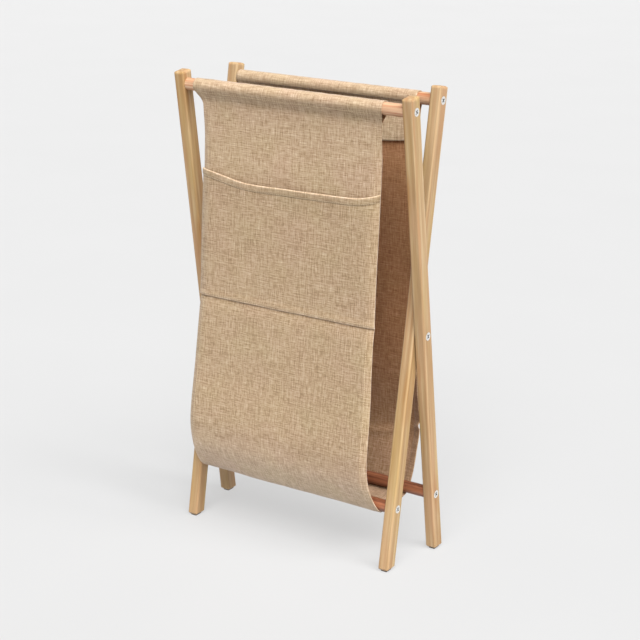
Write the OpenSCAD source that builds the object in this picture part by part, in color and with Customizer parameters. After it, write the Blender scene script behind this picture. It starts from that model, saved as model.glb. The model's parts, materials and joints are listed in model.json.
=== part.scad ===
// Folding magazine rack: two crossed wooden frames that carry a fabric sling.
// Millimetres, +Z up. -Y is the front, +X runs along the rods to the right.
// The origin is on the floor, under the middle of the rack's bounding box.

/* [Frame] */
// Width over the outer legs
rack_w = 400; // [340:1:520]
// Length of a leg above the pivot
leg_up = 350; // [290:1:430]
// Length of a leg below the pivot, to the middle of its foot cut
leg_down = 350; // [290:1:430]
// Thickness of a leg, across the rack
leg_t = 17; // [13:0.5:22]
// Width of a leg, seen from the side
leg_w = 21; // [17:0.5:28]
// Radius of a leg's long edges
leg_edge_r = 3; // [1:0.5:5]
// Radius of the corners at a leg's top end
leg_top_r = 4.5; // [1:0.5:6]
// Chamfer round the bottom of a foot
foot_chamfer = 3.5; // [0.5:0.5:5]
// Lean of every leg from upright, in degrees
leg_lean = 8.95; // [7:0.05:12]
// Gap between an outer and an inner leg, which the pivot washer fills
leg_gap = 0.6; // [0.6:0.1:3]
// Thickness of the pad under each foot
pad_t = 1.5; // [1:0.5:5]
// Margin of the pad inside the foot's flat bottom
pad_margin = 0.5; // [0.5:0.5:1.5]

/* [Rods] */
// Diameter of the four rods
rod_d = 18; // [14:0.5:22]
// From a leg's top end to the axis of the top rod
top_rod_inset = 20; // [15:1:40]
// From a leg's floor end to the axis of the lower rod
low_rod_inset = 92; // [70:1:130]

/* [Fasteners] */
// Diameter of the screw and bolt heads
head_d = 12; // [8:0.5:14]
// Height of the screw and bolt heads
head_h = 3; // [2:0.5:4]
// Diameter of a frame screw's plain neck
neck_d = 7; // [5:0.5:8]
// Diameter of a frame screw's threaded end
thread_d = 5; // [3:0.5:6]
// Length of thread that a frame screw has in its rod
thread_l = 32; // [20:1:45]
// Diameter of the pivot bolt
bolt_d = 6; // [4:0.5:8]
// Depth of the threaded insert that takes the pivot bolt
insert_l = 12; // [8:0.5:15]
// Wall of the threaded insert
insert_wall = 1.5; // [1:0.25:2.5]
// Diameter of the washer between the legs
washer_d = 16; // [13:0.5:17]
// Width of the slots of a head's cross recess
slot_w = 1.8; // [0.8:0.1:2.4]
// Depth of a head's cross recess
slot_h = 1.5; // [1:0.1:2]

/* [Sling] */
// Thickness of the cloth
cloth_t = 1.2; // [0.8:0.1:2]
// Width of the sling under its sleeves
sling_w_top = 300; // [240:1:320]
// Width of the sling at its fullest and below
sling_w_low = 314; // [240:1:320]
// Middle of the sling, from the middle of the rack
sling_x = -4; // [-10:1:10]
// Length of the sleeve on the front rod
front_sleeve_w = 317; // [250:1:325]
// Middle of the front sleeve, from the middle of the rack
front_sleeve_x = -8; // [-12:1:12]
// Length of the sleeve on the rear rod
rear_sleeve_w = 309; // [250:1:310]
// Middle of the rear sleeve, from the middle of the rack
rear_sleeve_x = -10; // [-10:1:10]
// Room between a rod and its sleeve
sleeve_ease = 0.8; // [0.3:0.1:2]
// Length of the front sleeve's turned-in edge below the rod
front_turn_in = 26; // [15:1:80]
// Length of the rear sleeve's turned-in flap below the rod
rear_turn_in = 50; // [15:1:80]
// How far the front belly stands out in front of the lower rod's axis
front_belly = 45; // [30:1:60]
// How far the rear belly stands out behind the lower rod's axis
rear_belly = 29; // [26:1:60]
// Height of both bellies above the lower rods' axes
belly_rise = 66; // [50:1:90]
// Gap between the lower rods and the sling's outer face below them
base_gap = 5; // [3:0.5:10]
// Pull of the curves round the lower rods, in rod diameters
curl_pull = 1.2; // [1.15:0.05:1.6]
// Further drop of the sling's base midway between the rods
base_sag = 4; // [1:0.5:10]
// Height of the pocket's open edge above the pivot
pocket_top = 195; // [120:1:240]
// Height of the pocket's bottom seam above the pivot
pocket_bottom = 8; // [-60:1:60]

/* [Hidden] */

// Clearances
bore_fit = 0.1;      // radial, around a screw's neck and head
thread_fit = 0.05;   // radial, around a thread in its hole
running_fit = 0.05;  // radial, around the pivot bolt in the outer leg
washer_fit = 0.1;    // axial, between the washer and the outer leg
pocket_fit = 0.3;    // between the pocket and the panel behind it
body_gap = 0.5;      // between cloth of the two frames

// Upright stretch of cloth above and below the joins at the bellies
join_run = 1;

// Round stretches
$fn = 64;
corner_steps = 5;
cloth_steps = 12;

// Frame geometry, with heights above the floor and depths from the pivot
pivot_z = leg_down * cos(leg_lean) + pad_t;
top_u = leg_up - top_rod_inset;
low_u = leg_down - low_rod_inset;
top_y = top_u * sin(leg_lean);
top_z = pivot_z + top_u * cos(leg_lean);
low_y = low_u * sin(leg_lean);
low_z = pivot_z - low_u * cos(leg_lean);
outer_x = rack_w / 2 - leg_t;
inner_x = outer_x - leg_gap - leg_t;
foot_half = leg_w / 2 / cos(leg_lean);
foot_y = leg_down * sin(leg_lean);
pad_inset = foot_chamfer + pad_margin;

// Sling geometry
sleeve_r = rod_d / 2 + sleeve_ease + cloth_t;
base_drop = rod_d / 2 + base_gap;
belly_z = low_z + belly_rise;
front_out = low_y + front_belly;
rear_out = low_y + rear_belly;
mid_y = (max(front_out, foot_y + foot_half) - max(rear_out, foot_y + foot_half)) / 2;

// Points along an arc from angle a0 to a1
function arc(centre, r, a0, a1) =
    [for (i = [0 : corner_steps]) let (a = a0 + (a1 - a0) * i / corner_steps)
        centre + r * [cos(a), sin(a)]];

// One point of a cubic curve through p[0] and p[3]
function cubic(p, t) =
    pow(1 - t, 3) * p[0] + 3 * t * pow(1 - t, 2) * p[1] + 3 * t * t * (1 - t) * p[2] + pow(t, 3) * p[3];

// Points of a cubic curve from parameter t0 to t1, both included
function run(p, t0 = 0, t1 = 1) =
    [for (i = [0 : cloth_steps]) cubic(p, t0 + (t1 - t0) * i / cloth_steps)];

// The same list without its first point, to join it to another
function tail(list) = [for (i = [1 : len(list) - 1]) list[i]];

// The same list from its end to its start
function backwards(list) = [for (i = [len(list) - 1 : -1 : 0]) list[i]];

// A path moved sideways, to the left of its own direction
function beside(path, d) =
    [for (i = [0 : len(path) - 1])
        let (step = path[min(i + 1, len(path) - 1)] - path[max(i - 1, 0)])
        path[i] + d * [-step[1], step[0]] / norm(step)];

// Side view of the sling's outer face, as [y, z] from the pivot's depth and the floor.
// side is -1 at the front and 1 at the rear, and out is the belly's distance from the pivot.
function fall(side, out) =
    let (drop = top_z - sleeve_r - belly_z, spread = out - top_y)
    [[side * top_y, top_z - sleeve_r],
     [side * (top_y + 0.07 * spread), belly_z + 0.58 * drop],
     [side * out, belly_z + 0.15 * drop],
     [side * out, belly_z + join_run]];
function curl(side, out) =
    [[side * out, belly_z - join_run],
     [side * out, low_z + 0.55 * belly_rise],
     [side * (low_y + curl_pull * rod_d), low_z],
     [side * low_y, low_z - base_drop]];
front_fall = fall(-1, front_out);
rear_fall = fall(1, rear_out);
base_curve = [
    [-low_y, low_z - base_drop], [-low_y / 2, low_z - base_drop - base_sag * 4 / 3],
    [low_y / 2, low_z - base_drop - base_sag * 4 / 3], [low_y, low_z - base_drop]
];

// Share of a fall's curve that reaches down to a height, by halving steps
function share_at(p, z, lo = 0, hi = 1, n = 14) =
    n == 0 ? (lo + hi) / 2
    : cubic(p, (lo + hi) / 2)[1] > z ? share_at(p, z, (lo + hi) / 2, hi, n - 1)
    : share_at(p, z, lo, (lo + hi) / 2, n - 1);

module on_outer_frame() {
    translate([0, mid_y, pivot_z])
        rotate([leg_lean, 0, 0])
            children();
}

module on_inner_frame() {
    translate([0, mid_y, pivot_z])
        rotate([-leg_lean, 0, 0])
            children();
}

// A cylinder along X from x to x + h
module x_cylinder(d, h, x = 0) {
    translate([x, 0, 0])
        rotate([0, 90, 0])
            cylinder(d = d, h = h);
}

// Leg along Z with its pivot at the origin, from x = 0 to leg_t. lean is 1 where the top
// leans forward and -1 where it leans back, which sets the slant of the foot's cut.
module leg_blank(lean) {
    w = leg_w / 2;
    slant = lean * w * tan(leg_lean);
    section = concat(
        arc([leg_t - leg_edge_r, w - leg_edge_r], leg_edge_r, 0, 90),
        arc([leg_edge_r, w - leg_edge_r], leg_edge_r, 90, 180),
        arc([leg_edge_r, leg_edge_r - w], leg_edge_r, 180, 270),
        arc([leg_t - leg_edge_r, leg_edge_r - w], leg_edge_r, 270, 360)
    );
    front_view = concat(
        arc([leg_t - leg_top_r, leg_up - leg_top_r], leg_top_r, 0, 90),
        arc([leg_top_r, leg_up - leg_top_r], leg_top_r, 90, 180),
        [[0, -leg_down - leg_w], [leg_t, -leg_down - leg_w]]
    );
    side_view = concat(
        arc([w - leg_top_r, leg_up - leg_top_r], leg_top_r, 0, 90),
        arc([leg_top_r - w, leg_up - leg_top_r], leg_top_r, 90, 180),
        [[-w, -leg_down + slant + foot_chamfer],
         [-w + foot_chamfer, -leg_down + slant * (1 - foot_chamfer / w)],
         [w - foot_chamfer, -leg_down - slant * (1 - foot_chamfer / w)],
         [w, -leg_down - slant + foot_chamfer]]
    );
    foot_view = [
        [foot_chamfer, 0], [leg_t - foot_chamfer, 0], [leg_t, foot_chamfer],
        [leg_t, leg_up + leg_down + leg_w], [0, leg_up + leg_down + leg_w], [0, foot_chamfer]
    ];
    intersection() {
        translate([0, 0, -leg_down - leg_w])
            linear_extrude(leg_up + leg_down + 2 * leg_w)
                polygon(section);
        translate([0, 0, -leg_down])
            rotate([-lean * leg_lean, 0, 0])
                translate([0, leg_down, 0])
                    rotate([90, 0, 0])
                        linear_extrude(2 * leg_down)
                            polygon(foot_view);
        translate([0, leg_w, 0])
            rotate([90, 0, 0])
                linear_extrude(2 * leg_w)
                    polygon(front_view);
        rotate([90, 0, 90])
            linear_extrude(leg_t)
                polygon(side_view);
    }
}

// Holes for the two frame screws of a leg, with the screw heads at x = leg_t
module leg_screw_holes(top, low) {
    for (u = [top, -low])
        translate([0, 0, u]) {
            x_cylinder(neck_d + 2 * bore_fit, leg_t + 2, -1);
            x_cylinder(head_d + 2 * bore_fit, head_h + 1, leg_t - head_h);
        }
}

module outer_leg() {
    on_outer_frame()
        translate([outer_x, 0, 0])
            difference() {
                leg_blank(1);
                leg_screw_holes(top_u, low_u);
                x_cylinder(bolt_d + 2 * running_fit, leg_t + 2, -1);
                x_cylinder(head_d + 2 * bore_fit, head_h + 2 * bore_fit + 1, leg_t - head_h - 2 * bore_fit);
            }
}

module inner_leg() {
    on_inner_frame()
        translate([inner_x, 0, 0])
            difference() {
                leg_blank(-1);
                leg_screw_holes(top_u, low_u);
                x_cylinder(bolt_d + 2 * insert_wall + 2 * bore_fit, insert_l + 2, leg_t - insert_l - 1);
            }
}

// Rod between two legs whose inner faces are at -x_end and x_end, at u along the legs
module rod(x_end, u) {
    translate([0, 0, u])
        difference() {
            x_cylinder(rod_d, 2 * x_end, -x_end);
            for (side = [0, 1])
                mirror([side, 0, 0])
                    x_cylinder(thread_d + 2 * thread_fit, thread_l + 2, x_end - thread_l - 1);
        }
}

// Cross recess that opens at x = 0, turned by 45 degrees
module cross_recess() {
    slot_l = 0.6 * head_d;
    for (turn = [45, 135])
        rotate([turn, 0, 0])
            translate([-slot_h, -slot_l / 2, -slot_w / 2])
                cube([slot_h + 1, slot_l, slot_w]);
}

// Frame screw with the top of its head at x = 0, running towards -X
module frame_screw() {
    difference() {
        union() {
            x_cylinder(head_d, head_h, -head_h);
            x_cylinder(neck_d, leg_t - head_h, -leg_t);
            x_cylinder(thread_d, thread_l, -leg_t - thread_l);
        }
        cross_recess();
    }
}

// The four screws of one frame, with the legs' outer faces at -x_face and x_face
module frame_screws(x_face) {
    for (side = [0, 1], u = [top_u, -low_u])
        mirror([side, 0, 0])
            translate([x_face, 0, u])
                frame_screw();
}

module pivot_bolt() {
    on_inner_frame()
        translate([rack_w / 2, 0, 0])
            difference() {
                union() {
                    x_cylinder(head_d, head_h, -head_h);
                    x_cylinder(bolt_d, leg_t + leg_gap + insert_l - head_h, -leg_t - leg_gap - insert_l);
                }
                cross_recess();
            }
}

module pivot_washer() {
    on_inner_frame()
        translate([inner_x + leg_t, 0, 0])
            difference() {
                x_cylinder(washer_d, leg_gap - washer_fit);
                x_cylinder(bolt_d + 2 * thread_fit, leg_gap + 2, -1);
            }
}

module pivot_insert() {
    on_inner_frame()
        translate([inner_x + leg_t - insert_l, 0, 0])
            difference() {
                x_cylinder(bolt_d + 2 * insert_wall, insert_l);
                x_cylinder(bolt_d + 2 * thread_fit, insert_l + 2, -1);
            }
}

// The two pads of one frame, at depth y and with their outer edges inside x_face
module foot_pads(x_face, y) {
    for (side = [0, 1])
        mirror([side, 0, 0])
            translate([x_face - leg_t + pad_inset, mid_y + y - foot_half + pad_inset, 0])
                cube([leg_t - 2 * pad_inset, 2 * (foot_half - pad_inset), pad_t]);
}

// Cloth that follows a side-view path, between two distances inside its outer face
module cloth(path, from, to) {
    outline = concat(beside(path, from), backwards(beside(path, to)));
    intersection() {
        translate([sling_x - sling_w_low / 2 - leg_t, mid_y, 0])
            rotate([90, 0, 90])
                linear_extrude(sling_w_low + 2 * leg_t)
                    polygon(outline);
        translate([sling_x, mid_y + front_out + rear_out, 0])
            rotate([90, 0, 0])
                linear_extrude(2 * (front_out + rear_out))
                    polygon([
                        [-sling_w_top / 2, top_z], [-sling_w_low / 2, belly_z], [-sling_w_low / 2, 0],
                        [sling_w_low / 2, 0], [sling_w_low / 2, belly_z], [sling_w_top / 2, top_z]
                    ]);
    }
}

// Sleeve around a top rod at depth y, w long about x_mid, with its turned-in edge inside the sling
module sleeve(y, w, x_mid, path, turn_in) {
    edge_t = share_at(path, top_z - sleeve_r - turn_in);
    side = path[0][1] > path[3][1] && y < 0 ? 1 : -1;
    edge = run(path, 0, edge_t);
    lift = [0, sleeve_ease];
    difference() {
        union() {
            translate([x_mid - w / 2, mid_y + y, top_z])
                x_cylinder(2 * sleeve_r, w);
            cloth(concat([edge[0] + lift], edge), side * cloth_t, side * 2 * cloth_t);
        }
        translate([x_mid - w / 2 - 1, mid_y + y, top_z])
            x_cylinder(rod_d + 2 * sleeve_ease, w + 2);
    }
}

module outer_leg_left() {
    color("burlywood") mirror([1, 0, 0]) outer_leg();
}

module outer_leg_right() {
    color("burlywood") outer_leg();
}

module inner_leg_left() {
    color("burlywood") mirror([1, 0, 0]) inner_leg();
}

module inner_leg_right() {
    color("burlywood") inner_leg();
}

module front_top_rod() {
    color("peru") on_outer_frame() rod(outer_x, top_u);
}

module rear_bottom_rod() {
    color("peru") on_outer_frame() rod(outer_x, -low_u);
}

module rear_top_rod() {
    color("peru") on_inner_frame() rod(inner_x, top_u);
}

module front_bottom_rod() {
    color("peru") on_inner_frame() rod(inner_x, -low_u);
}

module outer_frame_screws() {
    color("silver") on_outer_frame() frame_screws(rack_w / 2);
}

module inner_frame_screws() {
    color("silver") on_inner_frame() frame_screws(inner_x + leg_t);
}

module pivot_bolt_left() {
    color("silver") mirror([1, 0, 0]) pivot_bolt();
}

module pivot_bolt_right() {
    color("silver") pivot_bolt();
}

module pivot_washer_left() {
    color("gray") mirror([1, 0, 0]) pivot_washer();
}

module pivot_washer_right() {
    color("gray") pivot_washer();
}

module pivot_insert_left() {
    color("gold") mirror([1, 0, 0]) pivot_insert();
}

module pivot_insert_right() {
    color("gold") pivot_insert();
}

module rear_foot_pads() {
    color("dimgray") foot_pads(rack_w / 2, foot_y);
}

module front_foot_pads() {
    color("dimgray") foot_pads(inner_x + leg_t, -foot_y);
}

module front_sleeve() {
    color("tan") sleeve(-top_y, front_sleeve_w, front_sleeve_x, front_fall, front_turn_in);
}

module front_panel() {
    path = concat(run(front_fall), [[-front_out, belly_z]]);
    color("tan") cloth(path, 0, cloth_t);
}

module front_pocket() {
    t0 = share_at(front_fall, pivot_z + pocket_top);
    t1 = share_at(front_fall, pivot_z + pocket_bottom);
    color("burlywood") cloth(run(front_fall, t0, t1), -pocket_fit - cloth_t, -pocket_fit);
}

module sling_base() {
    path = concat(
        [[-front_out, belly_z]], run(curl(-1, front_out)), tail(run(base_curve)),
        tail(backwards(run(curl(1, rear_out)))), [[rear_out, belly_z]]
    );
    color("tan") cloth(path, 0, cloth_t);
}

module rear_panel() {
    path = concat(run(rear_fall), [[rear_out, belly_z + body_gap]]);
    color("tan") cloth(path, -cloth_t, 0);
}

module rear_sleeve() {
    color("tan") sleeve(top_y, rear_sleeve_w, rear_sleeve_x, rear_fall, rear_turn_in);
}

outer_leg_left();
outer_leg_right();
inner_leg_left();
inner_leg_right();
front_top_rod();
rear_bottom_rod();
rear_top_rod();
front_bottom_rod();
outer_frame_screws();
inner_frame_screws();
pivot_bolt_left();
pivot_bolt_right();
pivot_washer_left();
pivot_washer_right();
pivot_insert_left();
pivot_insert_right();
rear_foot_pads();
front_foot_pads();
front_sleeve();
front_panel();
front_pocket();
sling_base();
rear_panel();
rear_sleeve();
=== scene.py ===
import json
import math

import bpy
import numpy as np
from mathutils import Matrix, Vector, noise


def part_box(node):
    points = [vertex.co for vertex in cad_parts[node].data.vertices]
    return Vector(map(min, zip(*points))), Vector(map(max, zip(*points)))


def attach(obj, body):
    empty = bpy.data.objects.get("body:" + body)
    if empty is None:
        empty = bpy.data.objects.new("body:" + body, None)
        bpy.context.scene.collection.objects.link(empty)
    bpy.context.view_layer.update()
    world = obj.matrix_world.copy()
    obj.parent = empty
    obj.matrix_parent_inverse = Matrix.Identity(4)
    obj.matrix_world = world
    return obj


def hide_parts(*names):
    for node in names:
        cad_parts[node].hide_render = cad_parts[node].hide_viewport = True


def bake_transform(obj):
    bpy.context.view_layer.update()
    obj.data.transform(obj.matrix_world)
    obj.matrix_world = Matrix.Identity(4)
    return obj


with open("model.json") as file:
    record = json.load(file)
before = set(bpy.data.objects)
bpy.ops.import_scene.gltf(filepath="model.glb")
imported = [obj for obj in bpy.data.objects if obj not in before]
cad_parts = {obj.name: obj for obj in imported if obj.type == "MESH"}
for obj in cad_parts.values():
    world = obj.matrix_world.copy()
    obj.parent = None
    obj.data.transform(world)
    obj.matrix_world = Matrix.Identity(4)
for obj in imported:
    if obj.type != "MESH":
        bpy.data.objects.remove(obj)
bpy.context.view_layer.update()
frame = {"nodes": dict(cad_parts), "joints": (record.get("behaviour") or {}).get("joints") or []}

# Sizes are in millimetres here and become metres when a mesh is made.
MM = 0.001

# ---------------------------------------------------------------- places taken from the frame


def axis_of(node):
    """Depth and height of a rod's axis, in millimetres."""
    low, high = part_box(node)
    middle = (low + high) / 2 / MM
    return np.array([middle.y, middle.z])


FRONT_TOP = axis_of("front_top_rod")
REAR_TOP = axis_of("rear_top_rod")
FRONT_LOW = axis_of("front_bottom_rod")
REAR_LOW = axis_of("rear_bottom_rod")
ROD_LOW, ROD_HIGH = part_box("front_top_rod")
ROD_R = (ROD_HIGH.z - ROD_LOW.z) / 2 / MM
FOLD = next(j for j in frame["joints"] if j["name"] == "frame_fold")
PIVOT = Vector(FOLD["pos_m"])
LEAN = math.atan2(PIVOT.y - FRONT_TOP[0] * MM, FRONT_TOP[1] * MM - PIVOT.z)

# ---------------------------------------------------------------- camera

AZIMUTH, ELEVATION, ROLL = math.radians(33.28), math.radians(17.25), math.radians(0.8)
CAMERA_DISTANCE = 2.427
LENS = 92.84            # mm, on a sensor 36 mm wide
SENSOR = 36
FAR_CLIP = 50
AIM = Vector((0.017, PIVOT.y, PIVOT.z - 0.009))


def make_camera():
    back = Vector((
        math.sin(AZIMUTH) * math.cos(ELEVATION),
        -math.cos(AZIMUTH) * math.cos(ELEVATION),
        math.sin(ELEVATION),
    ))
    level = Vector((math.cos(AZIMUTH), math.sin(AZIMUTH), 0))
    upright = back.cross(level)
    right = level * math.cos(ROLL) + upright * math.sin(ROLL)
    up = upright * math.cos(ROLL) - level * math.sin(ROLL)
    data = bpy.data.cameras.new("camera")
    data.lens = LENS
    data.sensor_width = SENSOR
    data.clip_end = FAR_CLIP
    camera = bpy.data.objects.new("camera", data)
    bpy.context.scene.collection.objects.link(camera)
    camera.matrix_world = Matrix.Translation(AIM + back * CAMERA_DISTANCE) @ (
        Matrix((right, up, back)).transposed().to_4x4()
    )
    bpy.context.scene.camera = camera


make_camera()

# ---------------------------------------------------------------- shader helpers


class Shader:
    """A material and short ways to add and join its nodes."""

    def __init__(self, name):
        self.material = bpy.data.materials.new(name)
        self.material.use_nodes = True
        self.tree = self.material.node_tree
        self.tree.nodes.clear()
        self.out = self.tree.nodes.new("ShaderNodeOutputMaterial")
        self.bsdf = self.tree.nodes.new("ShaderNodeBsdfPrincipled")
        self.tree.links.new(self.bsdf.outputs[0], self.out.inputs[0])

    def put(self, socket, value):
        if hasattr(value, "is_linked"):
            self.tree.links.new(value, socket)
        else:
            socket.default_value = value

    def node(self, kind, inputs=None, **settings):
        made = self.tree.nodes.new("ShaderNode" + kind)
        for key, value in settings.items():
            setattr(made, key, value)
        for key, value in (inputs or {}).items():
            self.put(made.inputs[key], value)
        return made

    def math(self, operation, a, b=0.0):
        return self.node("Math", {0: a, 1: b}, operation=operation).outputs[0]

    def noise(self, vector, scale, detail=2.0, roughness=0.5):
        values = {"Vector": vector, "Scale": scale, "Detail": detail, "Roughness": roughness}
        return self.node("TexNoise", values).outputs["Fac"]

    def scaled(self, vector, scale, move=(0, 0, 0), turn=(0, 0, 0)):
        values = {"Vector": vector, "Scale": scale, "Location": move, "Rotation": turn}
        return self.node("Mapping", values).outputs[0]

    def ramp(self, factor, stops):
        made = self.node("ValToRGB", {"Fac": factor})
        elements = made.color_ramp.elements
        for _ in stops[2:]:
            elements.new(0.5)
        for element, (place, colour) in zip(elements, stops):
            element.position = place
            element.color = (*colour, 1)
        return made.outputs["Color"]

    def span(self, factor, low, high, to_low=0.0, to_high=1.0):
        values = {"Value": factor, 1: low, 2: high, 3: to_low, 4: to_high}
        return self.node("MapRange", values).outputs[0]

    def mix(self, factor, a, b, blend="MIX"):
        made = self.node("Mix", data_type="RGBA", blend_type=blend)
        self.put(made.inputs[0], factor)
        self.put(made.inputs[6], a if hasattr(a, "is_linked") else (*a, 1))
        self.put(made.inputs[7], b if hasattr(b, "is_linked") else (*b, 1))
        return made.outputs[2]

    def bump(self, height, distance, strength=1.0):
        values = {"Height": height, "Distance": distance, "Strength": strength}
        return self.node("Bump", values).outputs[0]

    def set(self, **sockets):
        for key, value in sockets.items():
            self.put(self.bsdf.inputs[key.replace("_", " ")], value)


def srgb(r, g, b):
    """Linear colour of an 8-bit screen colour."""
    return tuple(
        c / 12.92 if c <= 0.04045 else ((c + 0.055) / 1.055) ** 2.4 for c in (r / 255, g / 255, b / 255)
    )


# ---------------------------------------------------------------- materials

THREAD = 1.3 * MM            # pitch of the linen's threads
BACK_TINT = (1.0, 0.68, 0.49)  # of the cloth's back, against its face
# PALE_TINT and PALE_SHARE are painted light: they lighten the cloth where the fold attribute rises
PALE_TINT = (2.1, 2.15, 2.45)  # of the palest cloth, against its face
PALE_SHARE = 0.55            # of that tint where the fold attribute is 1


def linen(name):
    """Plain weave of slubby threads.

    The cloth attribute holds the place on the flat cloth in metres, and its Z is 1 on the cloth's
    brown back. The fold attribute is painted light: 0 on plain cloth, 1 where it is painted palest.
    """
    s = Shader(name)
    flat = s.node("Attribute", attribute_name="cloth").outputs["Vector"]
    painted_light = s.node("Attribute", attribute_name="painted_light").outputs["Fac"]
    across, along, back = s.node("SeparateXYZ", {0: flat}).outputs
    face = s.node("CombineXYZ", {0: across, 1: along}).outputs[0]
    # tone of each thread: short slubs, a longer drift, and faint wide patches
    warp = s.noise(s.scaled(face, (760, 85, 1)), 1.0, 1, 0.6)
    weft = s.noise(s.scaled(face, (85, 760, 1), (7, 3, 0)), 1.0, 1, 0.6)
    long_warp = s.noise(s.scaled(face, (560, 24, 1), (1, 9, 0)), 1.0, 1, 0.5)
    long_weft = s.noise(s.scaled(face, (24, 560, 1), (4, 2, 0)), 1.0, 1, 0.5)
    column = s.math("FLOOR", s.math("DIVIDE", across, THREAD))
    row = s.math("FLOOR", s.math("DIVIDE", along, THREAD))
    over = s.math("MODULO", s.math("ADD", s.math("ADD", column, row), 4000.0), 2.0)
    warp_up = s.math("GREATER_THAN", over, 0.5)
    slub = s.math(
        "ADD",
        s.math("MULTIPLY", warp, s.span(warp_up, 0, 1, 0.3, 0.7)),
        s.math("MULTIPLY", weft, s.span(warp_up, 0, 1, 0.7, 0.3)),
    )
    drift = s.math("ADD", s.math("MULTIPLY", long_warp, 0.5), s.math("MULTIPLY", long_weft, 0.5))
    patch = s.noise(s.scaled(face, (1, 1, 1), (2, 5, 0)), 9.0, 2, 0.5)
    tone = s.math("ADD", s.math("MULTIPLY", slub, 0.53), s.math("MULTIPLY", drift, 0.36))
    tone = s.math("ADD", tone, s.math("MULTIPLY", s.math("SUBTRACT", patch, 0.5), 0.03))
    colour = s.ramp(tone, [
        (0.245, srgb(97, 74, 50)), (0.375, srgb(137, 114, 87)), (0.455, srgb(157, 135, 108)),
        (0.535, srgb(174, 154, 129)), (0.655, srgb(197, 182, 162)),
    ])
    hue = s.noise(s.scaled(face, (1, 1, 1), (6, 1, 0)), 14.0, 2, 0.5)
    hue_tint = s.ramp(hue, [(0.35, (1.0, 0.965, 0.97)), (0.65, (0.98, 0.985, 0.93))])
    colour = s.mix(1.0, colour, hue_tint, "MULTIPLY")
    # painted light: the colour is lightened towards PALE_TINT where the fold attribute rises
    paler = s.mix(1.0, colour, PALE_TINT, "MULTIPLY")
    colour = s.mix(s.math("MULTIPLY", painted_light, PALE_SHARE), colour, paler)
    colour = s.mix(back, colour, s.mix(1.0, colour, BACK_TINT, "MULTIPLY"))
    warp_thread = s.math("ABSOLUTE", s.math("SINE", s.math("MULTIPLY", across, math.pi / THREAD)))
    weft_thread = s.math("ABSOLUTE", s.math("SINE", s.math("MULTIPLY", along, math.pi / THREAD)))
    lift = s.math(
        "MAXIMUM",
        s.math("MULTIPLY", warp_thread, s.span(warp_up, 0, 1, 0.55, 1)),
        s.math("MULTIPLY", weft_thread, s.span(warp_up, 0, 1, 1, 0.55)),
    )
    height = s.math("ADD", lift, s.math("MULTIPLY", slub, 1.2))
    fuzz = s.noise(face, 2600.0, 2)
    height = s.math("ADD", height, s.math("MULTIPLY", fuzz, 0.3))
    s.set(Base_Color=colour, Normal=s.bump(height, 0.22 * MM, 0.6))
    s.set(Roughness=0.88, Sheen_Weight=0.4, Sheen_Roughness=0.45, Specular_IOR_Level=0.12)
    return s.material


def sewing_thread():
    s = Shader("sewing_thread")
    place = s.node("TexCoord").outputs["Object"]
    twist = s.noise(place, 1800.0, 2)
    s.set(Base_Color=s.ramp(twist, [(0.3, srgb(171, 148, 117)), (0.7, srgb(199, 180, 150))]))
    s.set(Normal=s.bump(twist, 0.15 * MM, 0.5), Roughness=0.7, Sheen_Weight=0.2, Specular_IOR_Level=0.25)
    return s.material


def leg_wood(name, lean, number):
    """Pale pine, with straight grain along a leg that leans by this angle."""
    s = Shader(name)
    place = s.node("TexCoord").outputs["Object"]
    upright = s.scaled(place, (1, 1, 1), (0.37 * number, 0.11 * number, 0.53 * number), (lean, 0, 0))
    wander = s.noise(s.scaled(upright, (16, 16, 2.4)), 1.0, 3, 0.55)
    x, y, _ = s.node("SeparateXYZ", {0: upright}).outputs
    depth = s.math("ADD", s.math("MULTIPLY", x, 0.75 + 0.1 * number), s.math("MULTIPLY", y, 0.55))
    rings = s.math("ADD", s.math("MULTIPLY", depth, 820.0), s.math("MULTIPLY", wander, 26.0))
    late = s.math("POWER", s.span(s.math("SINE", rings), -1, 1), 2.2)
    faint = s.noise(s.scaled(upright, (45, 45, 3.2), (3, 1, 2)), 1.0, 2, 0.5)
    streak = s.noise(s.scaled(upright, (230, 230, 6)), 1.0, 4, 0.62)
    fibre = s.noise(s.scaled(upright, (1400, 1400, 30)), 1.0, 3, 0.6)
    olive = s.noise(s.scaled(upright, (60, 60, 5), (8, 2, 5)), 1.0, 2, 0.5)
    heart = s.noise(s.scaled(upright, (42, 42, 6.5), (1, 7, 3)), 1.0, 2, 0.5)
    colour = s.ramp(streak, [
        (0.30, srgb(148, 117, 80)), (0.5, srgb(167, 138, 101)), (0.70, srgb(183, 159, 125)),
    ])
    line_depth = s.math("MULTIPLY", late, s.span(faint, 0.35, 0.65, 0.08, 0.42))
    colour = s.mix(line_depth, colour, srgb(143, 101, 61))
    colour = s.mix(s.span(olive, 0.50, 0.68, 0, 0.5), colour, srgb(162, 134, 78))
    colour = s.mix(s.span(heart, 0.54, 0.70, 0, 0.65), colour, srgb(148, 101, 54))
    pink = s.span(olive, 0.32, 0.48, 0.5, 0)
    colour = s.mix(pink, colour, srgb(173, 133, 99))
    colour = s.mix(s.span(fibre, 0.56, 0.75, 0, 0.3), colour, srgb(138, 101, 64))
    height = s.math("ADD", s.math("MULTIPLY", late, 0.5), fibre)
    s.set(Base_Color=colour, Normal=s.bump(height, 0.10 * MM, 0.5))
    s.set(Roughness=s.span(streak, 0.3, 0.7, 0.58, 0.46), Specular_IOR_Level=0.35)
    return s.material


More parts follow.
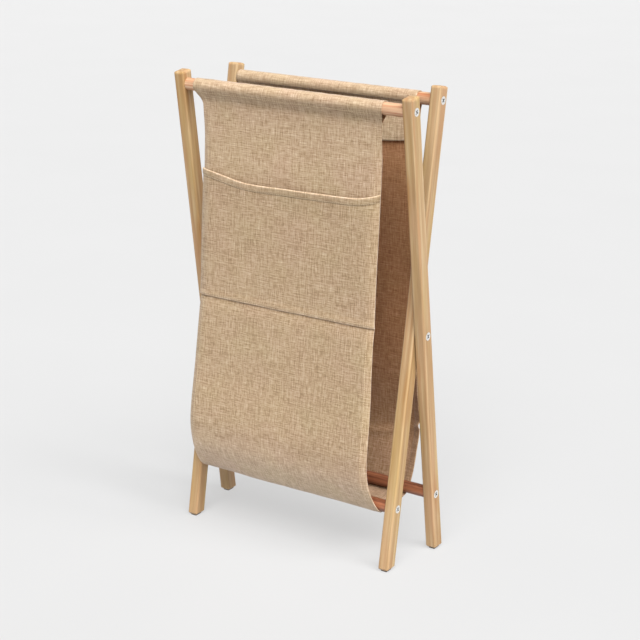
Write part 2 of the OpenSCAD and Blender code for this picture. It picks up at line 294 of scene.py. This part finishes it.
def rod_wood(name, number, pale, deep):
    """Reddish dowel with streaky grain along X."""
    s = Shader(name)
    place = s.node("TexCoord").outputs["Object"]
    shifted = s.scaled(place, (1, 1, 1), (0.41 * number, 0.23 * number, 0.31 * number))
    streak = s.noise(s.scaled(shifted, (7, 330, 330)), 1.0, 4, 0.62)
    fibre = s.noise(s.scaled(shifted, (40, 1700, 1700)), 1.0, 3, 0.6)
    band = s.noise(s.scaled(shifted, (4, 120, 120), (2, 4, 1)), 1.0, 2, 0.5)
    colour = s.ramp(streak, [(0.38, deep), (0.58, pale)])
    colour = s.mix(s.span(band, 0.48, 0.66, 0, 0.6), colour, tuple(c * 0.72 for c in deep))
    colour = s.mix(s.span(fibre, 0.56, 0.72, 0, 0.5), colour, tuple(c * 0.5 for c in deep))
    s.set(Base_Color=colour, Normal=s.bump(fibre, 0.08 * MM, 0.5))
    s.set(Roughness=s.span(streak, 0.3, 0.7, 0.46, 0.30), Specular_IOR_Level=0.55)
    return s.material


def zinc():
    s = Shader("zinc_steel")
    place = s.node("TexCoord").outputs["Object"]
    spangle = s.noise(place, 900.0, 3)
    scratch = s.noise(s.scaled(place, (400, 5200, 400)), 1.0, 2)
    # painted shade: the occlusion node darkens the screw heads' recesses to near black
    recess_shade = s.node("AmbientOcclusion", {"Distance": 2.2 * MM}).outputs["AO"]
    colour = s.ramp(spangle, [(0.3, srgb(190, 189, 186)), (0.7, srgb(214, 213, 210))])
    colour = s.mix(s.span(recess_shade, 0.4, 0.75), srgb(30, 27, 25), colour)
    s.set(Base_Color=colour, Roughness=s.span(spangle, 0.3, 0.7, 0.26, 0.44), Metallic=0.4)
    s.set(Normal=s.bump(scratch, 0.03 * MM, 0.35))
    return s.material


def brass():
    s = Shader("brass_insert")
    place = s.node("TexCoord").outputs["Object"]
    knurl = s.noise(s.scaled(place, (300, 2200, 2200)), 1.0, 2)
    s.set(Base_Color=s.ramp(knurl, [(0.3, srgb(150, 116, 54)), (0.7, srgb(214, 178, 98))]))
    s.set(Roughness=0.35, Metallic=1.0, Normal=s.bump(knurl, 0.1 * MM, 0.5))
    return s.material


def pad_rubber():
    s = Shader("pad_rubber")
    place = s.node("TexCoord").outputs["Object"]
    grain = s.noise(place, 1400.0, 3)
    s.set(Base_Color=s.ramp(grain, [(0.3, srgb(34, 30, 28)), (0.7, srgb(62, 56, 52))]))
    s.set(Roughness=0.85, Normal=s.bump(grain, 0.15 * MM, 0.6))
    return s.material


def dress_frame():
    """Gives every CAD piece that stays in view its material."""
    nodes = frame["nodes"]

    def paint(material, *names):
        for name in names:
            nodes[name].data.materials.clear()
            nodes[name].data.materials.append(material)

    legs = [
        ("outer_leg_left", LEAN), ("outer_leg_right", LEAN),
        ("inner_leg_left", -LEAN), ("inner_leg_right", -LEAN),
    ]
    for number, (name, lean) in enumerate(legs):
        paint(leg_wood("wood_" + name, -lean, number + 1), name)
    pale, deep = srgb(196, 162, 130), srgb(164, 106, 70)
    # painted shade: the low rods get darker copies of the same wood colours, for the shade under the sling
    shaded_pale, shaded_deep = srgb(148, 93, 64), srgb(106, 58, 36)
    paint(rod_wood("wood_front_top_rod", 1, pale, deep), "front_top_rod")
    paint(rod_wood("wood_rear_top_rod", 2, pale, deep), "rear_top_rod")
    paint(rod_wood("wood_front_bottom_rod", 3, shaded_pale, shaded_deep), "front_bottom_rod")
    paint(rod_wood("wood_rear_bottom_rod", 4, shaded_pale, shaded_deep), "rear_bottom_rod")
    paint(zinc(), "outer_frame_screws", "inner_frame_screws", "pivot_bolt_left", "pivot_bolt_right",
          "pivot_washer_left", "pivot_washer_right")
    paint(brass(), "pivot_insert_left", "pivot_insert_right")
    paint(pad_rubber(), "rear_foot_pads", "front_foot_pads")


dress_frame()

# ---------------------------------------------------------------- sling: side view of the strip

CLOTH = 1.1           # thickness of the linen
HEM_CLOTH = 1.9       # thickness of a side hem
HEM_W = 9.0           # width of a side hem
SLEEVE_R = ROD_R + 1.6  # outer face of the sleeve on a rod
STITCH_DROP = 19.0    # from a top rod's axis down to the sleeve's stitch line
FLAP = 57.0           # from a top rod's axis down to the turned-in hem, at the sides
FLAP_SAG = 13.0       # further down in the middle
LAYER = 1.2           # half of the step between a panel and its flap

# Outer face of a panel, as (outwards, down) from its top rod and (outwards, up) from its low rod
FRONT_UPPER = [(LAYER, STITCH_DROP), (0.8, 50), (1.6, 83), (4.4, 153), (8.2, 223), (12.0, 306),
               (14.6, 328), (18.2, 353), (25.2, 423)]
FRONT_LOWER = [(43.0, 108), (45.4, 70), (38.6, 38), (16.5, 2), (3.0, -12)]
REAR_UPPER = [(LAYER, STITCH_DROP), (1.0, 50), (2.0, 100), (4.5, 200), (7.5, 300), (10.5, 370), (14, 430)]
REAR_LOWER = [(31.0, 100), (30.2, 72), (19.3, 30), (11.6, 5), (3.0, -12)]
BASE_SAG = 3.0        # of the base between the low rods

# Left and right edge of the strip, from the middle of the rack
PANEL_EDGES = (-155.5, 146.0)
FRONT_SLEEVE_EDGES = (-167.0, 150.5)
REAR_SLEEVE_EDGES = (-164.8, 144.3)
BELLY_WIDENING = 6.5    # on each side, towards the belly
LEFT_LOW_WIDENING = 3.6   # at the low rods
RIGHT_LOW_WIDENING = (2.0, -4.0)  # at the front low rod and at the rear one
FLAP_INSET = 1.5        # of a flap's edges from the panel's
EDGE_COLUMNS = [0, 0.9, 2.2, 4.0, 6.2, 8.2, 9.0, 9.8, 11.5, 14.5]  # from an edge, closer at its hem
BODY_COLUMNS = 68
FINE_ROW, COARSE_ROW = 2.0, 4.0  # spacing of rows in the sleeves and flaps, and elsewhere

# How pale the cloth is made, fitted to the photo: on its edges, on top of the rods, under the
# stitch lines, on the belly and base, low on the rear panel, and on the rear flap. The lights alone leave
# most of these places darker than the photo shows them.
# Each PALE_ value is painted light: it makes the cloth paler where light falls on it
PALE_EDGE, PALE_SLEEVE, PALE_TOP = 0.08, 0.35, 0.2
PALE_BELLY, PALE_REAR, PALE_FLAP = 0.6, 0.5, 0.5
PALE_RIM = 0.35
BROWN_LOW = 0.35        # share of the brown that the inner side keeps at the base
EDGE_CURL = 3.6         # of the panels' side edges, inwards


def curve(points, step=1.0):
    """A smooth line through the points, with a point about every step."""
    p = np.array(points, float)
    p = np.vstack([2 * p[0] - p[1], p, 2 * p[-1] - p[-2]])
    made = []
    for a, b, c, d in zip(p, p[1:], p[2:], p[3:]):
        count = max(2, int(np.linalg.norm(c - b) / step))
        t = (np.arange(count) / count)[:, None]
        made.append(0.5 * (2 * b + (c - a) * t + (2 * a - 5 * b + 4 * c - d) * t**2
                           + (3 * b - a - 3 * c + d) * t**3))
    return np.vstack([*made, p[-2:-1]])


def panel_line(side, top, low, upper, lower):
    """Outer face of a panel in the side view, from its stitch line down to the base."""
    points = [(top[0] + side * out, top[1] - down) for out, down in upper]
    points += [(low[0] + side * out, low[1] + up) for out, up in lower]
    return points


def sleeve_line(side, rod):
    """Round a top rod from the inner side of the stitch line over the top to the outer side."""
    apex_turn = math.acos(SLEEVE_R / STITCH_DROP)
    turns = np.linspace(apex_turn, 2 * math.pi - apex_turn, 44)
    # measured from straight down, first towards the inside of the sling
    return [(rod[0] - side * SLEEVE_R * math.sin(t), rod[1] - SLEEVE_R * math.cos(t)) for t in turns]


def strip_line():
    """The whole strip from the front flap's hem to the rear flap's hem, and each point's region."""
    front = curve(panel_line(-1, FRONT_TOP, FRONT_LOW, FRONT_UPPER, FRONT_LOWER))
    rear = curve(panel_line(1, REAR_TOP, REAR_LOW, REAR_UPPER, REAR_LOWER))
    base = curve([front[-1], (front[-1][0] * 0.5 + rear[-1][0] * 0.5, front[-1][1] - BASE_SAG), rear[-1]])

    def flap(side, rod):
        near, far = LAYER, 2.3 * LAYER
        return curve([
            (rod[0] - side * far, rod[1] - FLAP), (rod[0] - side * far, rod[1] - FLAP / 2 - STITCH_DROP / 2),
            (rod[0] - side * near, rod[1] - STITCH_DROP - 1),
        ])

    return [
        ("front_flap", flap(-1, FRONT_TOP)),
        ("front_sleeve", np.array(sleeve_line(-1, FRONT_TOP))),
        ("front", front[1:]),
        ("base", base[1:-1]),
        ("rear", rear[::-1][:-1]),
        ("rear_sleeve", np.array(sleeve_line(1, REAR_TOP))[::-1]),
        ("rear_flap", flap(1, REAR_TOP)[::-1]),
    ]


def resample(points):
    """How far along the line each point lies, and a function that gives the point at any distance."""
    steps = np.linalg.norm(np.diff(points, axis=0), axis=1)
    travelled = np.concatenate([[0], np.cumsum(steps)])
    return travelled, lambda s: np.stack(
        [np.interp(s, travelled, points[:, k]) for k in range(points.shape[1])], axis=-1)


def smooth_step(t):
    t = np.clip(t, 0, 1)
    return t * t * (3 - 2 * t)


def ripple(a, b, seed, detail=1):
    """Smooth noise between about -1 and 1 over two arrays of coordinates."""
    out = np.zeros(np.broadcast(a, b).shape)
    a, b = np.broadcast_arrays(a, b)
    for index in np.ndindex(out.shape):
        out[index] = noise.fractal(Vector((a[index], b[index], seed)), 1.0, 2.0, detail)
    return out


def bump_at(distance, width):
    """A smooth bump, 1 where the distance is 0."""
    return np.exp(-(distance / width) ** 2)


class Sling:
    """The strip as a grid of points: rows follow its length and columns go from left to right."""

    def __init__(self):
        line, region = [], []
        for name, points in strip_line():
            line.append(points)
            region += [name] * len(points)
        line = np.vstack(line)
        travelled, at = resample(line)
        # closer rows in the tight turns of the sleeves
        close = np.array([r.endswith("sleeve") or r.endswith("flap") for r in region], float)
        rows, s = [], 0.0
        while s < travelled[-1]:
            rows.append(s)
            s += FINE_ROW if np.interp(s, travelled, close) > 0.3 else COARSE_ROW
        rows.append(travelled[-1])
        self.s = np.array(rows)
        place = at(self.s)
        region = np.array(region)[np.clip(np.searchsorted(travelled, self.s), 0, len(region) - 1)]
        # soften the corners at the stitch lines
        for _ in range(2):
            place[1:-1] = 0.5 * place[1:-1] + 0.25 * (place[:-2] + place[2:])
        self.region = region
        self.y, self.z = place.T
        step = np.gradient(place, axis=0)
        step /= np.linalg.norm(step, axis=1)[:, None]
        self.ny, self.nz = step[:, 1], -step[:, 0]
        self.name_rows()
        self.columns()
        self.shape()
        self.paleness()

    def name_rows(self):
        """Marks what each row belongs to, and how far below its top rod and above the low rods it is."""

        def mark(test):
            return np.array([test(r) for r in self.region])

        self.rear_side = mark(lambda r: r.startswith("rear"))
        self.is_sleeve = mark(lambda r: r.endswith("sleeve"))
        self.is_flap = mark(lambda r: r.endswith("flap"))
        self.sleeve = self.is_sleeve.astype(float)[:, None]
        self.flap = self.is_flap.astype(float)[:, None]
        self.front = mark(lambda r: r == "front").astype(float)[:, None]
        self.rear = mark(lambda r: r == "rear").astype(float)[:, None]
        self.panel = self.front + self.rear
        self.base = (1 - self.panel) * (1 - self.sleeve) * (1 - self.flap)
        self.top = np.where(self.rear_side, REAR_TOP[1], FRONT_TOP[1])
        self.below = self.top - self.z
        self.low = self.z - FRONT_LOW[1]

    def columns(self):
        """Left and right edge of every row, and the columns between them."""
        below, low, rear = self.below, self.low, self.rear_side
        # the panels are narrower than the sleeves and widen towards the belly
        widen = smooth_step((below - 270) / 240)
        left = PANEL_EDGES[0] - BELLY_WIDENING * widen
        right = PANEL_EDGES[1] + BELLY_WIDENING * widen
        near_low = 1 - smooth_step((low + 14) / 60)
        left -= LEFT_LOW_WIDENING * near_low
        across = np.clip((self.y - FRONT_LOW[0]) / (REAR_LOW[0] - FRONT_LOW[0]), 0, 1)
        at_front, at_rear = RIGHT_LOW_WIDENING
        right += (at_front + (at_rear - at_front) * across) * near_low
        # a short neck joins each panel to its wider sleeve
        neck = smooth_step((below - 2) / 25)
        on_neck = self.is_sleeve | (below < 60)
        sleeve_left, sleeve_right = (
            np.where(rear, behind, ahead) for behind, ahead in zip(REAR_SLEEVE_EDGES, FRONT_SLEEVE_EDGES)
        )
        left = np.where(on_neck, sleeve_left + (left - sleeve_left) * neck, left)
        right = np.where(on_neck, sleeve_right + (right - sleeve_right) * neck, right)
        left = np.where(self.is_flap, left + FLAP_INSET, left)
        right = np.where(self.is_flap, right - FLAP_INSET, right)
        inner = np.linspace(0, 1, BODY_COLUMNS)
        edge = np.array(EDGE_COLUMNS)
        width = (right - left)[:, None]
        body = edge[-1] + (width - 2 * edge[-1]) * inner[None, 1:-1]
        first = np.broadcast_to(edge[None, :], (len(left), len(edge)))
        self.from_left = np.hstack([first, body, width - first[:, ::-1]])
        self.from_right = width - self.from_left
        self.edge = np.minimum(self.from_left, self.from_right)
        self.x = left[:, None] + self.from_left
        self.t = self.from_left / width

    def shape(self):
        """Pushes the plain strip into the cloth's real shape, outwards along its side view's normals."""
        z = self.z[:, None]
        below, low, x, t = self.below[:, None], self.low[:, None], self.x, self.t
        curl = np.clip(1 - self.edge / 15, 0, 1) ** 2
        hang = smooth_step((below - STITCH_DROP) / 60) * self.panel
        push = -EDGE_CURL * curl * hang * smooth_step((low - 8) / 45)
        push += self.wrinkles(hang)
        # the pocket's bottom seam draws the front panel in
        seam = below - POCKET_BOTTOM
        push += self.front * (-1.3 * bump_at(seam - 1.0, 3.0) + 1.1 * bump_at(seam - 17, 14))
        # the rear panel is creased where it meets the base, deepest at its edges
        crease = low - self.crease_height(t)
        push -= self.rear * (1.8 + 4.0 * curl) * bump_at(crease, 3.2)
        push += self.rear * (1.2 * bump_at(crease + 14, 12) + 1.4 * bump_at(crease - 10, 9))
        # flaps hang longer in the middle than at the sides, and end a little off the panel
        sag = 1 + FLAP_SAG / (FLAP - STITCH_DROP) * np.sin(math.pi * t) ** 0.6
        flap_z = (self.top[:, None] - STITCH_DROP) - (below - STITCH_DROP) * sag
        z = np.where(self.flap > 0, flap_z, z * np.ones_like(x))
        loose = 0.5 * ripple(x / 45, self.s[:, None] / 30, 9.9) * smooth_step((below - 30) / 25)
        push += self.flap * (0.9 * smooth_step((below - STITCH_DROP) / 30) + loose)
        y = self.y[:, None] + push * self.ny[:, None]
        z = z + push * self.nz[:, None]
        self.outer = np.stack([x, y, z], axis=-1)
        self.normal = grid_normals(self.outer)

    def wrinkles(self, hang):
        """Slow waves, finer puckers at the stitch lines, drag folds over the belly and waves in the base."""
        below, low, x, s = self.below[:, None], self.low[:, None], self.x, self.s[:, None]
        calm = smooth_step(self.edge / 20)
        near_stitch = np.exp(-np.clip(below - STITCH_DROP, 0, 400) / 22) * (self.panel + self.sleeve)
        belly = bump_at(low - 55, 55) * self.panel
        return (
            1.5 * ripple(x / 120, s / 170, 1.3) * hang * calm
            + 0.55 * ripple(x / 42, s / 60, 4.1) * hang
            + 0.35 * ripple(x / 9, s / 60, 8.7) * near_stitch
            + 1.0 * ripple((x + 0.35 * s) / 34, s / 120, 2.2) * belly
            + 0.5 * ripple(x / 30, s / 60, 6.4) * self.base
        )

    def paleness(self):
        """How much painted light pales the cloth, how brown its inner side is, and how thick it is with its
        hems.
        """
        below, low, edge = self.below[:, None], self.low[:, None], self.edge
        sleeve, flap, rear = self.sleeve, self.flap, self.rear
        # painted light: edges, sleeve tops, upper panels, front belly and base, low rear panel and rear flap
        # made paler
        self.painted_light = PALE_EDGE * smooth_step((1.6 - edge) / 1.6) * (1 - sleeve)
        self.painted_light += PALE_SLEEVE * sleeve * smooth_step((SLEEVE_R * 0.5 - below) / SLEEVE_R)
        upper = smooth_step((below - STITCH_DROP) / 4) * smooth_step((150 - below) / 60)
        self.painted_light += PALE_TOP * self.panel * upper
        self.painted_light += PALE_BELLY * (1 - sleeve) * (1 - flap) * (1 - rear) * smooth_step((78 - low) / 45)
        self.painted_light += PALE_REAR * rear * smooth_step((150 - low) / 90)
        self.painted_light += PALE_FLAP * flap * self.rear_side[:, None]
        # the inner side is brown at the top and pales towards the base
        self.back = BROWN_LOW + (1 - BROWN_LOW) * smooth_step((low + 20) / 260) * np.ones_like(edge)
        hem = smooth_step((HEM_W + 0.4 - edge) / 0.8) * smooth_step((below - STITCH_DROP - 42) / 8)
        self.thick = CLOTH + (HEM_CLOTH - CLOTH) * hem * self.panel

    @staticmethod
    def crease_height(t):
        """Height of the rear crease above the low rods, sagging from the sides to the middle."""
        return 56 + 33 * np.abs(2 * t - 1) ** 2.2

    def at(self, row, column, lift=0.0):
        """Point and normal at a fractional row and column, lift millimetres off the outer face."""
        return sample(self.outer, row, column) + lift * unit(sample(self.normal, row, column))


def unit(v):
    return v / np.linalg.norm(v, axis=-1, keepdims=True)


def sample(grid, row, column):
    """Value of a grid at fractional rows and columns."""
    row, column = np.asarray(row, float), np.asarray(column, float)
    r = np.clip(np.floor(row).astype(int), 0, grid.shape[0] - 2)
    c = np.clip(np.floor(column).astype(int), 0, grid.shape[1] - 2)
    a, b = (row - r)[..., None], (column - c)[..., None]
    return ((1 - a) * ((1 - b) * grid[r, c] + b * grid[r, c + 1])
            + a * ((1 - b) * grid[r + 1, c] + b * grid[r + 1, c + 1]))


def grid_normals(grid):
    """Unit normals of a grid whose rows run down the outer face and columns from left to right."""
    down = np.gradient(grid, axis=0)
    right = np.gradient(grid, axis=1)
    return unit(np.cross(down, right))


def new_piece(name, points, faces, material, smooth=True):
    mesh = bpy.data.meshes.new(name)
    mesh.from_pydata((np.asarray(points) * MM).tolist(), [], faces)
    mesh.polygons.foreach_set("use_smooth", [smooth] * len(mesh.polygons))
    mesh.materials.append(material)
    piece = bpy.data.objects.new(name, mesh)
    bpy.context.scene.collection.objects.link(piece)
    return piece


def shell(name, outer, normal, thick, place, painted_light, back):
    """A closed sheet of linen: the outer grid, a copy thick millimetres inside it, and a rounded rim.

    place is where each point lies on the flat cloth, fold how pale its painted light makes it and
    back where the inner face is the cloth's brown side.
    """
    rows, columns = outer.shape[:2]
    inner = outer - normal * thick[..., None]
    ring = ([(0, c) for c in range(columns)] + [(r, columns - 1) for r in range(1, rows)]
            + [(rows - 1, c) for c in range(columns - 2, -1, -1)] + [(r, 0) for r in range(rows - 2, 0, -1)])
    middle = (outer + inner) / 2
    row_out = unit(np.gradient(outer, axis=0))
    column_out = unit(np.gradient(outer, axis=1))
    rim = []
    for r, c in ring:
        away = row_out[r, c] * (float(r == rows - 1) - float(r == 0))
        away = away + column_out[r, c] * (float(c == columns - 1) - float(c == 0))
        rim.append(middle[r, c] + unit(away) * thick[r, c] * 0.4)
    count = rows * columns
    points = np.vstack([outer.reshape(-1, 3), inner.reshape(-1, 3), np.array(rim)])
    faces = []
    for r in range(rows - 1):
        for c in range(columns - 1):
            a = r * columns + c
            faces.append((a, a + columns, a + columns + 1, a + 1))
            faces.append((count + a, count + a + 1, count + a + columns + 1, count + a + columns))
    for k, (r, c) in enumerate(ring):
        r2, c2 = ring[(k + 1) % len(ring)]
        a, b = r * columns + c, r2 * columns + c2
        m, n = 2 * count + k, 2 * count + (k + 1) % len(ring)
        faces.append((a, b, n, m))
        faces.append((m, n, count + b, count + a))
    piece = new_piece(name, points, faces, LINEN)
    on_ring = tuple(np.array(ring).T)
    flat = place.reshape(-1, 3) * MM
    inside = flat + np.array([0, 0, 1]) * back.reshape(-1, 1)
    flat = np.vstack([flat, inside, place[on_ring] * MM])
    layer = piece.data.attributes.new("cloth", "FLOAT_VECTOR", "POINT")
    layer.data.foreach_set("vector", flat.astype(np.float32).ravel())
    # painted light: the inner face gets half of it, and the rim at least PALE_RIM as a painted highlight
    paler = np.concatenate([painted_light.ravel(), painted_light.ravel() * 0.5, np.maximum(painted_light[on_ring], PALE_RIM)])
    layer = piece.data.attributes.new("painted_light", "FLOAT", "POINT")
    layer.data.foreach_set("value", paler.astype(np.float32))
    return piece


# ---------------------------------------------------------------- sling: pocket and stitches

POCKET_TOP = 120.0       # from the front top rod's axis down to the pocket's open edge, at the sides
POCKET_BOTTOM = 309.0    # the same, to its bottom seam
# The open edge's droop from the left side to the right one, as (share of width, drop)
POCKET_DROOP = [(0, 0), (0.11, 5.5), (0.27, 12.5), (0.5, 12.0), (0.85, 9.5), (0.95, 5.0), (1, 0)]
SEWN_GAP = 0.35          # between the pocket and the panel behind it
POCKET_HEM = 9.0         # height of the open edge's hem
SAMPLE_ROW = 300         # row of the sling whose columns stand for the pocket's

LINEN = linen("linen")
THREAD_MATERIAL = sewing_thread()
sling = Sling()


def rows_down(below, column):
    """Fractional row of the front panel that lies this far below the front top rod, in one column."""
    rows = np.flatnonzero(sling.region == "front")
    depth = FRONT_TOP[1] - sling.outer[rows, column, 2]
    depth = np.maximum.accumulate(depth)
    return np.interp(below, depth, rows)


def droop(t):
    line = curve(POCKET_DROOP, 0.02)
    return np.interp(t, line[:, 0], line[:, 1])


def make_pocket():
    columns = np.arange(sling.outer.shape[1])
    down = np.concatenate([
        [0, 0.003, 0.007, 0.012, 0.02, 0.03, 0.04, 0.047, 0.054], np.linspace(0.065, 0.955, 40),
        [0.965, 0.972, 0.979, 0.986, 0.991, 0.996, 1.0],
    ])
    grid, flat, thick, painted_light = [], [], [], []
    for share in down:
        points, cloth, size, paler = [], [], [], []
        for c in columns:
            t = sling.t[SAMPLE_ROW, c]
            top = POCKET_TOP + droop(t)
            below = top + (POCKET_BOTTOM - top) * share
            row = float(rows_down(below, c))
            edge = min(t, 1 - t) * 300
            from_top, from_bottom = below - top, POCKET_BOTTOM - below
            gape = 3.0 * math.sin(math.pi * t) ** 0.7 * math.exp(-from_top / 34)
            wave = 0.6 * noise.noise(Vector((sling.x[SAMPLE_ROW, c] / 38, below / 50, 5.5)))
            wave *= min(edge / 20, 1)
            hem = float(smooth_step((POCKET_HEM + 0.5 - from_top) / 1.0))
            size.append(CLOTH + 1.1 * hem + 0.9 * float(smooth_step((7 - from_bottom) / 1)))
            off = SEWN_GAP + size[-1] + gape + max(wave, -SEWN_GAP * 0.6)
            off += 0.5 * float(smooth_step((12 - edge) / 12))
            off -= 0.5 * math.exp(-((from_top - POCKET_HEM) / 1.3) ** 2)
            off -= 0.35 * math.exp(-((from_bottom - 5) / 1.2) ** 2)
            points.append(sling.at(row, c, off))
            cloth.append((sling.x[SAMPLE_ROW, c] + 1.7, below + 331.0, 0))
            # painted highlights: a pale line along the pocket's open edge and another along its bottom seam
            paler.append(math.exp(-(from_top / 1.1) ** 2) + 0.8 * math.exp(-((from_bottom - 0.6) / 1.3) ** 2))
        grid.append(points)
        flat.append(cloth)
        thick.append(size)
        painted_light.append(paler)
    outer = np.array(grid)
    thick, flat, painted_light = np.array(thick), np.array(flat), np.array(painted_light)
    piece = shell("pocket_cloth", outer, grid_normals(outer), thick, flat, painted_light, np.ones_like(painted_light))
    return piece, outer


# A stitch's sections, as (share of its length, swell, rise)
STITCH_SECTIONS = [
    (0.0, 0.35, -0.25), (0.2, 0.9, 0.05), (0.5, 1.0, 0.12), (0.8, 0.9, 0.05), (1.0, 0.35, -0.25),
]


def stitches(name, places, normals, length=2.7, radius=0.28):
    """Short rounded threads along a line, each lying between two places."""
    points, faces = [], []
    ring = 6
    for a, b, n in zip(places, places[1:], normals):
        along = b - a
        gap = np.linalg.norm(along)
        if gap < 1e-6:
            continue
        along = along / gap
        side = np.cross(along, n)
        start = a + along * (gap - length) / 2
        base = len(points)
        for share, swell, rise in STITCH_SECTIONS:
            centre = start + along * length * share + n * rise
            for k in range(ring):
                turn = 2 * math.pi * k / ring
                points.append(centre + radius * swell * (math.cos(turn) * side + math.sin(turn) * n))
        last = len(STITCH_SECTIONS) - 1
        for i in range(last):
            for k in range(ring):
                p, q = base + i * ring + k, base + i * ring + (k + 1) % ring
                faces.append((p, q, q + ring, p + ring))
        faces.append(tuple(base + k for k in range(ring))[::-1])
        faces.append(tuple(base + last * ring + k for k in range(ring)))
    return new_piece(name, points, faces, THREAD_MATERIAL)


def seam_points(grid, rows, columns, pitch=3.4, lift=0.1):
    """Evenly spaced places and normals along a line of fractional rows and columns on a grid."""
    line = sample(grid, rows, columns)
    n = unit(sample(grid_normals(grid), rows, columns))
    travelled, at = resample(np.hstack([line, n]))
    both = at(np.arange(0, travelled[-1], pitch))
    return both[:, :3] + both[:, 3:] * lift, both[:, 3:]


def between(grid, column_from, distance):
    """Fractional column at a distance from the left or right edge, for each row."""
    steps = np.linalg.norm(np.diff(grid, axis=1), axis=2)
    travelled = np.hstack([np.zeros((len(grid), 1)), np.cumsum(steps, axis=1)])
    if column_from == "right":
        return np.array([np.interp(row[-1] - distance, row, np.arange(len(row))) for row in travelled])
    return np.array([np.interp(distance, row, np.arange(len(row))) for row in travelled])


def finish_cloth(nodes):
    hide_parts(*nodes)


def across_fold(piece):
    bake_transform(piece)


def make_sling():
    down = sling.s[:, None] * np.ones_like(sling.x)
    cloth = np.stack([sling.x + 200, down, np.zeros_like(sling.x)], axis=-1)
    strip = shell("sling_cloth", sling.outer, sling.normal, sling.thick, cloth, sling.painted_light, sling.back)
    pocket, pocket_grid = make_pocket()

    region = sling.region
    panel_rows = np.flatnonzero((region == "front") | (region == "base") | (region == "rear"))

    def sew_hem(side):
        columns = between(sling.outer, side, HEM_W)[panel_rows]
        return stitches("stitches_%s_hem" % side, *seam_points(sling.outer, panel_rows, columns))

    hem_left, hem_right = sew_hem("left"), sew_hem("right")

    def sew_row(name, grid, row):
        """Stitches along one fractional row, from side to side."""
        columns = np.arange(2, grid.shape[1] - 2)
        return stitches(name, *seam_points(grid, np.full(len(columns), row), columns))

    front_row = sew_row("stitches_front_sleeve", sling.outer, np.flatnonzero(region == "front")[0] + 0.8)
    rear_row = sew_row("stitches_rear_sleeve", sling.outer, np.flatnonzero(region == "rear")[-1] - 0.8)
    flap_hem = sew_row("stitches_rear_flap", sling.outer, np.flatnonzero(region == "rear_flap")[-1] - 3.0)
    pocket_top = sew_row("stitches_pocket_top", pocket_grid, 7.0)
    pocket_bottom = sew_row("stitches_pocket_bottom", pocket_grid, pocket_grid.shape[0] - 5.0)

    threads = [hem_left, hem_right, front_row, rear_row, flap_hem]
    for piece in [strip, *threads]:
        across_fold(piece)
    finish_cloth(
        ["front_sleeve", "front_panel", "sling_base", "rear_panel", "rear_sleeve"],
    )
    for piece in (pocket, pocket_top, pocket_bottom):
        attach(piece, "outer_frame")
    finish_cloth(["front_pocket"])


make_sling()

# ---------------------------------------------------------------- floor and light


FLOOR_GLOW = 0.53
WORLD_STRENGTH = 0.17
# (radius, height) in metres of the floor, a disc whose rim curves up far away, behind low views too
FLOOR_PROFILE = [(1, 0), (4, 0), (12, 0), (13.2, 0.12), (14.2, 0.5), (14.8, 1.2), (15, 2.2), (15, 3.6)]


def make_stage():
    """A plain pale floor that glows a little, which keeps the shadows on it light."""
    s = Shader("floor")
    place = s.node("TexCoord").outputs["Object"]
    s.set(Base_Color=s.ramp(s.noise(place, 3.0, 2), [(0.3, (0.145,) * 3), (0.7, (0.15,) * 3)]))
    s.set(Roughness=0.6, Specular_IOR_Level=0.1, Emission_Color=(1, 1, 1, 1), Emission_Strength=FLOOR_GLOW)
    turns = 48
    verts = [
        (r * 1000 * math.cos(2 * math.pi * k / turns), r * 1000 * math.sin(2 * math.pi * k / turns), z * 1000)
        for r, z in FLOOR_PROFILE for k in range(turns)
    ]
    faces = [
        (i * turns + k, (i + 1) * turns + k, (i + 1) * turns + (k + 1) % turns, i * turns + (k + 1) % turns)
        for i in range(len(FLOOR_PROFILE) - 1) for k in range(turns)
    ]
    faces.append(tuple(range(turns)))
    new_piece("floor", verts, faces, s.material)


def soft_light(name, azimuth, elevation, spread, strength):
    """A wide soft light far away, seen from the rack at these angles in degrees."""
    data = bpy.data.lights.new(name, "SUN")
    data.angle = math.radians(spread)
    data.energy = strength
    lamp = bpy.data.objects.new(name, data)
    bpy.context.scene.collection.objects.link(lamp)
    a, e = math.radians(azimuth), math.radians(elevation)
    towards = Vector((math.sin(a) * math.cos(e), -math.cos(a) * math.cos(e), math.sin(e)))
    lamp.rotation_euler = towards.to_track_quat("Z", "Y").to_euler()


def make_light():
    world = bpy.data.worlds.new("studio")
    world.use_nodes = True
    background = world.node_tree.nodes["Background"]
    background.inputs["Color"].default_value = (1, 1, 1, 1)
    background.inputs["Strength"].default_value = WORLD_STRENGTH
    bpy.context.scene.world = world
    soft_light("front_key", azimuth=28, elevation=52, spread=42, strength=4.7)
    soft_light("right_key", azimuth=86, elevation=50, spread=32, strength=3.3)
    bpy.context.scene.view_settings.view_transform = "Standard"


make_stage()
make_light()
